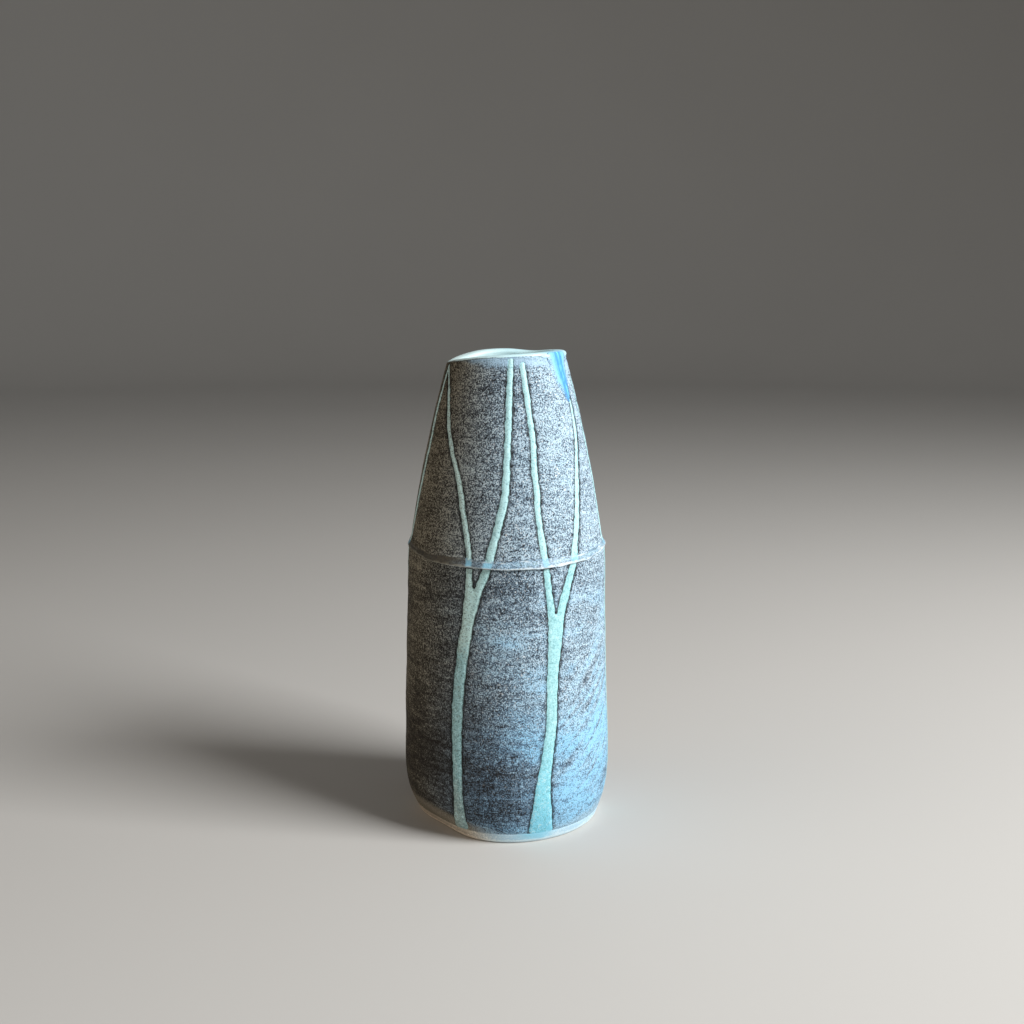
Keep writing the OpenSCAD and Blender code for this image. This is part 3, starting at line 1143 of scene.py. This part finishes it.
@dataclass
class FootAndCoils:
    """The base slab and the two coils that are pressed over the joints inside."""

    form: VaseForm
    brushwork: Brushwork
    clay: bpy.types.Material
    foot_round: float = 0.6
    edge_step: float = 0.37
    joint_round: float = 0.05
    coil_w: float = 4.0
    lap_coil_h: float = 8.0
    lap_bulge: float = 1.6
    presses: int = 17

    def corner_face(self, t: float) -> tuple[float, float]:
        """Radius and height on the corner coil's face, from the floor at 0 to the wall at 1."""
        low = self.form.lower_r(self.form.floor_z) - self.form.lower_t
        high = self.form.lower_r(self.form.floor_z + self.coil_w) - self.form.lower_t
        start = np.array([low - self.coil_w, self.form.floor_z])
        end = np.array([high, self.form.floor_z + self.coil_w])
        corner = np.array([low, self.form.floor_z])
        r, z = (1 - t) ** 2 * start + 2 * t * (1 - t) * corner + t * t * end
        return float(r), float(z)

    def lap_face(self, t: float) -> tuple[Grid, float]:
        """Radius and height on the lap coil's face, from its lower edge at 0 to its top at 1."""
        z = self.form.lap_z + self.lap_coil_h * (t - 0.5)
        pressed = 1 + 0.18 * np.cos(np.radians(column_azimuths() * self.presses))
        bulge = self.lap_bulge * math.sin(math.pi * t) * pressed / 1.18
        return self.form.inner_r(z) - bulge, z

    def base_slab(self) -> bpy.types.Object:
        """The disc of clay that the vase stands on."""
        az = column_azimuths()
        form = self.form

        def edge_r(z: float, inset: float = 0.0) -> Grid:
            """Radius of the slab's edge at one height."""
            return form.outer_r(az, np.full_like(az, z), Level.LOWER) - inset

        foot = [(edge_r(0, self.foot_round * (1 - math.sin(a))), self.foot_round * (1 - math.cos(a)))
                for a in np.radians((0, 30, 60))]
        edge = [(edge_r(z), z) for z in (self.foot_round + i * self.edge_step for i in range(6))]
        joint = [(edge_r(form.edge_z - self.joint_round, 0.02), form.edge_z - self.joint_round),
                 (edge_r(form.edge_z, self.joint_round), form.edge_z)]
        inside = float(form.lower_r(form.floor_z)) - form.lower_t
        below = [(float(r), 0.0) for r in np.linspace(AXIS_GAP, 20, 8)]
        above = [(inside, form.edge_z), (inside, form.floor_z)]
        over = [(float(r), form.floor_z) for r in np.linspace(20, AXIS_GAP, 8)]
        skin = Skin.from_rows(below + foot + edge + joint + above + over)
        marks = {"side": self.brushwork.foot_side(skin.az), "high": ease(skin.z, 0.3, 1.6),
                 "glazed": hump(turn(skin.az, 19), 0, 11) * ease(skin.z, 0.2, 1.4)}
        solid = Solid.capped(skin.points(), marks)
        return solid.piece("foot_slab", ["base_slab"], Slot.BARE_CLAY, self.clay)

    def coil(self, name: str, node: str, rows: list[tuple[Any, Any]]) -> bpy.types.Object:
        """Makes a coil from the rows of its section."""
        skin = Skin.from_rows(rows, closed=True)
        marks = {"side": self.brushwork.side(skin.az), "high": np.zeros_like(skin.z)}
        return Solid.ring(skin, marks).piece(name, [node], Slot.BARE_CLAY, self.clay)

    def base_coil(self) -> bpy.types.Object:
        """The coil in the corner of floor and wall."""
        faces = [self.corner_face(i / 6) for i in range(7)]
        low_r = float(self.form.lower_r(self.form.floor_z)) - self.form.lower_t
        back = [(low_r + 0.3, self.form.floor_z + 0.3)]
        return self.coil("corner_coil", "base_joint_coil", back + faces[::-1])

    def lap_coil(self) -> bpy.types.Object:
        """The coil over the lap of the two walls, with the presses of a thumb in it."""
        faces = [self.lap_face(i / 10) for i in range(11)]
        return self.coil("lap_coil", "lap_joint_coil", faces[::-1])

    def build(self) -> list[bpy.types.Object]:
        """Makes the slab and both coils."""
        return [self.base_slab(), self.base_coil(), self.lap_coil()]


@dataclass
class LowerWall:
    """The slab rolled into a ring that stands on the base."""

    form: VaseForm
    scoring: Scoring
    brushwork: Brushwork
    clay: bpy.types.Material
    rows: int = 150
    joint_round: float = 0.05
    overlap: float = 0.5

    def section(self) -> tuple[Skin, int]:
        """Gives the closed skin of the wall.

        Returns:
            The skin, and the number of its rows that are on the outer face.
        """
        form = self.form
        az = column_azimuths()
        top = form.hem(az) + self.overlap
        rows = [(form.outer_r(az, np.full_like(az, form.edge_z), Level.LOWER) - self.joint_round,
                 form.edge_z)]
        low = form.edge_z + self.joint_round
        for i in range(self.rows):
            z = low + (top - low) * i / (self.rows - 1)
            rows.append((form.outer_r(az, z, Level.LOWER), z))
        scarf_top = (float(form.inner_r(form.lap_z - 0.01)) + 0.3, form.lap_z)
        last_r, last_z = rows[-1]
        for t in (0.04, 0.5, 1.0):
            rows.append((last_r + (scarf_top[0] - last_r) * t, last_z + (scarf_top[1] - last_z) * t))
        for z in np.linspace(form.lap_z - 0.4, form.edge_z, 30):
            rows.append((float(form.inner_r(z)), float(z)))
        return Skin.from_rows(rows, closed=True), self.rows + 1

    def line_field(self, skin: Skin, outer_rows: int) -> Grid:
        """Distance from the trees, far away on every row that isn't on the outer face."""
        away = self.scoring.all_trees(skin)
        away[:2] = np.maximum(away[:2], 0.2)
        away[outer_rows:] = FAR
        return away

    def build(self) -> bpy.types.Object:
        """Makes the wall with its channels."""
        skin, outer_rows = self.section()
        away = self.line_field(skin, outer_rows)
        sheet = ScoredSheet(away, closed=True)
        marks = self.brushwork.marks(skin, away, Level.LOWER, self.form)
        # painted shade: a dark line on the lower wall just under the hem's lip, with some oxide caught
        # there
        marks["rim"] = np.clip(0.6 * (self.form.hem(skin.az) - skin.z), 0, FAR)
        solid = Solid.scored(sheet, skin.points(), skin.points(-self.scoring.deep), marks, carved=True)
        return solid.piece("lower_wall_clay", ["lower_wall"], Slot.OXIDE_CLAY, self.clay)


@dataclass
class UpperWall:
    """The tapered slab whose torn hem laps over the lower wall."""

    form: VaseForm
    scoring: Scoring
    brushwork: Brushwork
    clay: bpy.types.Material
    rows: int = 120
    arc_rows: int = 9
    flare_z: float = 3.5
    hollow: float = 0.5
    torn: HandNoise = HandNoise(31, 1.5, 1.6)
    chips: HandNoise = HandNoise(32, 6, 1.2)
    lip_wave: HandNoise = HandNoise(33, 12, 1.5)
    rim_line: HandLine = HandLine(
        (-90, -0.3), (-50, -0.2), (-20, -0.1), (10, 0.0), (30, 0.6), (45, 1.6), (60, 2.2), (80, 1.4),
        (110, 0.8), (150, 0.9), (180, 1.1), (215, 0.4), period=360)

    def hem_rows(self, az: Grid) -> list[tuple[Grid, Grid]]:
        """Rows of the hem from the lower wall's face out round the lip into its hollow."""
        form = self.form
        hem = form.hem(az)
        tear = 0.2 * self.torn(az, hem) + 0.4 * np.minimum(self.chips(az, hem), 0)
        reach = form.lip_r + 0.15 * self.lip_wave(az, hem) - 0.4 * np.abs(np.sin(np.radians(az))) ** 4
        reach = reach + form.uneven(az, hem) * 0.6 + 0.08 * self.torn(az + 40, hem)
        inner = form.outer_r(az, hem, Level.LOWER) - 0.25
        return [
            (inner, hem + 0.35),
            (inner + 0.2, hem + 0.15),
            (reach - 0.15, hem + tear),
            (reach, hem + tear + 0.07),
            (reach + 0.02, hem + tear + 0.25),
            (reach - 0.1, hem + tear * 0.7 + 0.45),
            (reach - 0.35, hem + tear * 0.3 + 0.75),
        ]

    def face_r(self, az: Grid, z: Grid) -> Grid:
        """Radius of the outer face above the lip, with its flare."""
        up = z - self.form.hem(az)
        flare = 0.3 * ease(up, self.flare_z, 0.6)
        return self.form.outer_r(az, z, Level.UPPER) + flare

    def section(self) -> tuple[Skin, dict[str, int]]:
        """Gives the closed skin of the wall.

        Returns:
            The skin, and the first row of its face, of its arc and of its inside.
        """
        form = self.form
        az = column_azimuths()
        rows = self.hem_rows(az)
        first = {"face": len(rows)}
        low, high = form.hem(az) + 1.1, form.crown_z(az)
        for i in range(self.rows):
            z = low + (high - low) * i / (self.rows - 1)
            rows.append((self.face_r(az, z), z))
        first["arc"] = len(rows) - 1
        outer_r = rows[-1][0]
        inner_r = form.mouth_r(az, high)
        middle, half = (outer_r + inner_r) / 2, (outer_r - inner_r) / 2
        for i in range(1, self.arc_rows + 1):
            a = math.pi * i / (self.arc_rows + 1)
            wide = math.copysign(abs(math.cos(a)) ** 0.8, math.cos(a))
            rows.append((middle + half * wide, high + (form.crown_h - 0.25) * math.sin(a) ** 0.8))
        first["inside"] = len(rows)
        for i in range(26):
            z = high + (form.lap_z + 0.05 - high) * i / 25
            rows.append((form.mouth_r(az, z), z))
        return Skin.from_rows(rows, closed=True), first

    def build(self) -> bpy.types.Object:
        """Makes the wall with its channels."""
        skin, first = self.section()
        away = self.scoring.all_trees(skin)
        cut = away.copy()
        cut[: first["face"]] = FAR
        cut[first["arc"] + 1:] = FAR
        sheet = ScoredSheet(cut, closed=True)
        marks = self.brushwork.marks(skin, away, Level.UPPER, self.form)
        marks["bare"] = np.full_like(away, -FAR)
        marks["rim"] = np.abs(skin.z - self.form.crown_z(skin.az) + self.rim_line(skin.az))
        marks["rim"][first["arc"] + 1:] = FAR
        # painted highlight along the edge of the hem's lip
        marks["lip"] = np.abs(skin.z - self.form.hem(skin.az) - 0.2)
        marks["lip"][first["face"]:] = FAR
        solid = Solid.scored(sheet, skin.points(), skin.points(-self.scoring.deep), marks, carved=True)
        return solid.piece("upper_wall_clay", ["upper_wall"], Slot.OXIDE_CLAY, self.clay)


@dataclass
class TreeInlays:
    """The glaze in the channels: six trunks on the lower wall, six crowns on the upper one."""

    lower: LowerWall
    upper: UpperWall
    glaze: bpy.types.Material

    def inlay(self, number: int, level: Level) -> bpy.types.Object:
        """Makes one tree's glaze on one wall.

        Args:
            number: the tree's number, from 1.
            level: the wall.

        Returns:
            The piece.
        """
        scoring = self.lower.scoring
        if level is Level.LOWER:
            skin, outer_rows = self.lower.section()
            face = skin.part(0, outer_rows)
            name, node = f"trunk_glaze_{number}", f"trunk_inlay_{number}"
        else:
            skin, first = self.upper.section()
            face = skin.part(first["face"] - 1, first["arc"] + 1)
            name, node = f"crown_glaze_{number}", f"crown_inlay_{number}"
        away = scoring.tree(TREES[number - 1], face)
        away[:1] = np.maximum(away[:1], 0.2)
        away[-1:] = np.maximum(away[-1:], 0.2)
        sheet = ScoredSheet(away, closed=False)
        brushwork = self.lower.brushwork
        cool = brushwork.cool(face.az)
        high = ease(face.z, 68, 84)
        dull = 0.9 * ease(face.z, 60, 50) + 0.9 * ease(face.z, 30, 8) - 0.6 * high
        clear = ease(face.z, 44, 8) + 0.5 * ease(face.z, 16, 5) - 0.9 * high
        marks = {"cool": cool, "depth": np.clip(-away, 0, 3), "pool": dull + (clear - dull) * cool}
        solid = Solid.scored(sheet, face.points(scoring.glaze_lift(away)),
                             face.points(scoring.bed - scoring.deep), marks)
        return solid.piece(name, [node], Slot.TURQUOISE, self.glaze)

    def build(self) -> list[bpy.types.Object]:
        """Makes all twelve inlays."""
        numbers = range(1, len(TREES) + 1)
        return [self.inlay(n, level) for level in Level for n in numbers]


@dataclass
class RimAndSeam:
    """Glaze on the lip of the mouth, its blue run, and the band behind the hem's lip."""

    upper: UpperWall
    glaze: bpy.types.Material
    run: bpy.types.Material
    rim_t: float = 0.33
    run_t: float = 0.2
    seam_t: float = 0.14
    arc_step: float = 0.38
    inner_end: float = 6.2
    outside: float = -0.2
    thinnest: float = 0.03
    sunk: float = 0.05
    run_end: float = 117.6
    drop: HandLine = HandLine(
        (-90, -0.6), (-50, -0.5), (-20, -0.45), (10, -0.4), (30, 0.1), (45, 1.0), (60, 1.6),
        (80, 0.8), (110, 0.2), (150, 0.3), (180, 0.5), (215, -0.2), period=360)
    band: HandLine = HandLine(
        (-90, 1.6), (-60, 1.5), (-35, 1.9), (-18, 2.3), (-5, 1.9), (8, 2.2), (22, 2.5), (34, 2.0),
        (50, 1.8), (75, 1.5), (120, 2.1), (170, 1.7), (220, 2.2), period=360)
    run_left: HandLine = HandLine((117, 60.5), (119.5, 54.5), (122, 50), (125, 46), (128, 42.5),
                                  (132, 39))
    run_right: HandLine = HandLine((117, 62), (119.5, 64.5), (122, 66.5), (128, 71), (132, 75))
    run_core: HandLine = HandLine((117, 61.3), (119, 61.2), (122, 60), (125, 58.5), (131, 56))
    dribble: HandNoise = HandNoise(41, 2.0, 1.5)

    def layer(self, face: Skin, inside: Grid, thick: Grid,
              marks: Marks) -> Solid:
        """A layer of glaze over part of a wall's face.

        Args:
            face: the skin that it lies on.
            inside: distance from its edge, positive inside it.
            thick: its thickness.
            marks: values over the skin that the finish reads.

        Returns:
            The solid.
        """
        sheet = ScoredSheet(-inside, closed=False)
        top = face.points(np.maximum(thick, self.thinnest))
        return Solid.scored(sheet, top, face.points(-self.sunk), marks)

    def rim(self) -> bpy.types.Object:
        """The glazed lip of the mouth."""
        skin, first = self.upper.section()
        start, end = first["arc"] - 9, first["inside"] + 3
        face = skin.part(start, end)
        crown = self.upper.form.crown_z(face.az)
        path = face.z - crown
        arc = np.arange(start, end + 1)[:, None] - first["arc"]
        turned = np.minimum(arc, self.upper.arc_rows + 1)
        path = np.where(arc > 0, self.arc_step * turned, path)
        path = np.where(arc > turned, self.arc_step * turned + crown - face.z, path)
        path = path + 0.22 * self.dribble(face.az, face.z)
        inside = np.minimum(path + self.drop(face.az), self.inner_end - path)
        inside[[0, -1]] = self.outside
        thick = self.rim_t * ease(path + self.drop(face.az), -0.1, 0.9)
        side = self.upper.brushwork.side(face.az)
        tint = 3 - 3.3 * hump(turn(face.az, 60), 0, 60)
        marks = {"side": side, "body": ease(thick, 0.0, 0.2), "line": tint,
                 "lip": np.full_like(side, FAR)}
        solid = self.layer(face, inside, thick, marks)
        return solid.piece("rim_glaze_lip", ["rim_glaze"], Slot.AQUA, self.glaze)

    def blue_run(self) -> bpy.types.Object:
        """The blue glaze that ran down from the rim."""
        skin, first = self.upper.section()
        start = int(first["arc"] - 40)
        face = skin.part(start, first["arc"] + 3)
        ragged = 0.35 * self.dribble(face.az, face.z)
        z = np.minimum(face.z, self.upper.form.crown_z(face.az))
        reach = face.r * math.pi / 180
        left = turn(face.az, 0) - self.run_left(z)
        right = self.run_right(z) - turn(face.az, 0)
        inside = np.minimum(np.minimum(left, right) * reach, z - self.run_end) + ragged
        inside[[0, -1]] = np.minimum(inside[[0, -1]], self.outside)
        rise = ease(face.z - self.upper.form.crown_z(face.az), -2.6, -0.3)
        thick = self.run_t * ease(inside, -0.2, 1.8) + (self.rim_t - 0.05) * rise
        core = np.abs(turn(face.az, 0) - self.run_core(z)) * reach
        marks = {"core": core, "body": ease(inside, 0, 2.5)}
        solid = self.layer(face, inside, thick, marks)
        return solid.piece("blue_run", ["rim_glaze_run"], Slot.BLUE, self.run)

    def seam(self) -> bpy.types.Object:
        """The glaze that pooled in the angle behind the hem's lip."""
        skin, first = self.upper.section()
        face = skin.part(3, first["face"] + 8)
        form = self.upper.form
        up = face.z - form.hem(face.az)
        band = self.band(face.az) + 0.3 * self.dribble(face.az, face.z)
        inside = np.minimum(band - up, up - 0.2)
        inside[[0, -1]] = self.outside
        uneven = 0.75 + 0.4 * hump(up, 0.95, 0.5) + 0.4 * self.dribble(face.az + 50, face.z)
        thick = self.seam_t * ease(inside, 0, 0.9) * uneven
        line = self.upper.scoring.all_trees(face)
        # painted light: the seam glaze takes its thick, pale colour towards the lit right side, partly
        # glaze pooled there
        light = 0.5 + 0.5 * np.sin(np.radians(face.az))
        marks = {"side": self.upper.brushwork.cool(face.az), "line": np.clip(line, -1, FAR),
                 "body": 0.42 * light * ease(inside, 0, 0.8),
                 # lip: the painted highlight along the seam band's lower edge
                 "lip": np.minimum(0.8 * np.abs(up - 0.2), 0.14 + 0.5 * np.abs(inside - 0.3)
                                   + 0.12 * self.dribble(face.az + 90, face.z))}
        solid = self.layer(face, inside, thick, marks)
        return solid.piece("seam_band", ["seam_glaze"], Slot.AQUA, self.glaze)

    def build(self) -> list[bpy.types.Object]:
        """Makes the three glazes."""
        return [self.rim(), self.blue_run(), self.seam()]


@dataclass
class Lining:
    """The glaze that makes the inside hold water."""

    form: VaseForm
    coils: FootAndCoils
    brushwork: Brushwork
    glaze: bpy.types.Material
    thick: float = 0.3

    def build(self) -> bpy.types.Object:
        """Makes the lining as a closed skin from the floor to the rim."""
        form = self.form
        az = column_azimuths()
        crown = form.crown_z(az)
        rows: list[tuple[Any, Any]] = [(float(r), form.floor_z) for r in np.linspace(AXIS_GAP, 19, 7)]
        rows += [self.coils.corner_face(i / 6) for i in range(7)]
        low, high = form.lap_z - self.coils.lap_coil_h / 2, form.lap_z + self.coils.lap_coil_h / 2
        rows += [(float(form.inner_r(z)), float(z)) for z in np.linspace(10, low - 0.5, 26)]
        rows += [self.coils.lap_face(i / 10) for i in range(11)]
        for t in np.linspace(0.02, 1, 24):
            z = high + (crown - 2.0 - high) * t
            rows.append((form.mouth_r(az, z), z))
        clay = Skin.from_rows(rows)
        wave = 0.08 * form.finger(clay.az, clay.z) * ease(clay.r, 2, 12) * ease(crown - clay.z, 2, 8)
        faces = [clay.points(), clay.points(wave - self.thick)[::-1]]
        side = self.brushwork.side(clay.az)
        side = np.concatenate([side, side[::-1]])
        far = np.full_like(side, FAR)
        marks = {"side": side, "body": np.ones_like(side), "line": far, "lip": far}
        solid = Solid.capped(np.concatenate(faces), marks)
        return solid.piece("lining_skin", ["lining_glaze"], Slot.LINING, self.glaze)


@dataclass(frozen=True)
class Lamp:
    """A square soft light aimed at the middle of the vase, in metres, degrees and watts."""

    name: str
    az: float
    elevation: float
    distance: float
    size: float
    power: float
    colour: str

    def build(self) -> bpy.types.Object:
        """Makes the light."""
        light = bpy.data.lights.new(self.name, "AREA")
        light.size = self.size
        light.energy = self.power
        light.color = tone(self.colour)[:3]
        lamp = bpy.data.objects.new(self.name, light)
        a, e = math.radians(self.az), math.radians(self.elevation)
        target = Vector((0, 0, (CAD_BOX[0].z + CAD_BOX[1].z) / 2))
        way = Vector((math.sin(a) * math.cos(e), -math.cos(a) * math.cos(e), math.sin(e)))
        lamp.location = target + way * self.distance
        lamp.rotation_euler = way.to_track_quat("Z", "Y").to_euler()
        bpy.context.scene.collection.objects.link(lamp)
        return lamp


@dataclass
class Studio:
    """Pale floor, soft light and the camera."""

    floor_half: float = 1.8
    sweep: float = 0.9
    wall_h: float = 2.2
    camera_at: tuple[float, float, float] = (0.0, -0.343, 0.145)
    camera_pitch: float = 80.3
    camera_yaw: float = -0.24
    lens_mm: float = 43.95
    wall_grey: float = 0.17
    lamps: tuple[Lamp, ...] = (Lamp("key", 64, 34, 0.9, 0.45, 12.5, "#ffffff"),
                               Lamp("fill", -70, 20, 1.1, 0.8, 1.6, "#ffe9d2"))

    def floor(self) -> bpy.types.Object:
        """A wide pale floor that sweeps up into a wall all round, far from the vase."""
        turns = 96
        flat = [(float(r), 0.0) for r in (0.02, 0.1, 0.3, 0.8, 1.4, self.floor_half)]
        sweep = [(self.floor_half + self.sweep * math.sin(math.radians(a)),
                  self.sweep * (1 - math.cos(math.radians(a)))) for a in range(6, 91, 6)]
        wall = [(self.floor_half + self.sweep, self.wall_h)]
        az = np.radians(np.arange(turns) * 360 / turns)
        rings = [np.stack([r * np.cos(az), r * np.sin(az), np.full(turns, z)], -1)
                 for r, z in flat + sweep + wall]
        points = np.concatenate(rings)
        index = np.arange(len(points)).reshape(len(rings), turns)
        cells = np.stack([index[:-1], np.roll(index[:-1], -1, 1), np.roll(index[1:], -1, 1),
                          index[1:]], -1).reshape(-1, 4)
        faces = cells[:, ::-1].tolist() + [index[0].tolist()]
        floor = smooth_object("floor", points, faces, StudioFloor().material())
        return floor

    def camera(self) -> bpy.types.Object:
        """The camera, a little above the rim and looking slightly down."""
        data = bpy.data.cameras.new("camera")
        data.lens = self.lens_mm
        data.sensor_width = 36.0
        data.clip_start = 0.01
        camera = bpy.data.objects.new("camera", data)
        camera.location = self.camera_at
        camera.rotation_euler = (math.radians(self.camera_pitch), 0, math.radians(self.camera_yaw))
        bpy.context.scene.collection.objects.link(camera)
        bpy.context.scene.camera = camera
        return camera

    def world(self) -> None:
        """An even grey room."""
        world = bpy.data.worlds.new("studio")
        world.use_nodes = True
        background = world.node_tree.nodes["Background"]
        background.inputs["Color"].default_value = (self.wall_grey,) * 3 + (1.0,)
        background.inputs["Strength"].default_value = 1.0
        bpy.context.scene.world = world
        bpy.context.scene.view_settings.view_transform = "Standard"

    def build(self) -> None:
        """Sets up the whole studio."""
        self.camera()
        self.world()
        self.floor()
        for lamp in self.lamps:
            lamp.build()
        log.info("studio ready")


def main() -> None:
    """Builds the studio and every piece of the vase, in order."""
    logging.basicConfig(level=logging.INFO, format="%(name)s: %(message)s")
    Studio().build()
    form, scoring, brushwork = VaseForm(), Scoring(), Brushwork()
    oxide_clay, bare_clay = OxideClay().material(), BareClay().material()
    inlay, aqua, blue = InlayGlaze().material(), AquaGlaze().material(), RunGlaze().material()
    liner = AquaGlaze("lining_glaze", thick=("#c3dbdc", "#cfe6ea")).material()
    coils = FootAndCoils(form, brushwork, bare_clay)
    coils.build()
    lower = LowerWall(form, scoring, brushwork, oxide_clay)
    upper = UpperWall(form, scoring, brushwork, oxide_clay)
    lower.build()
    upper.build()
    TreeInlays(lower, upper, inlay).build()
    RimAndSeam(upper, aqua, blue).build()
    Lining(form, coils, brushwork, liner).build()


if __name__ == "__main__":
    main()
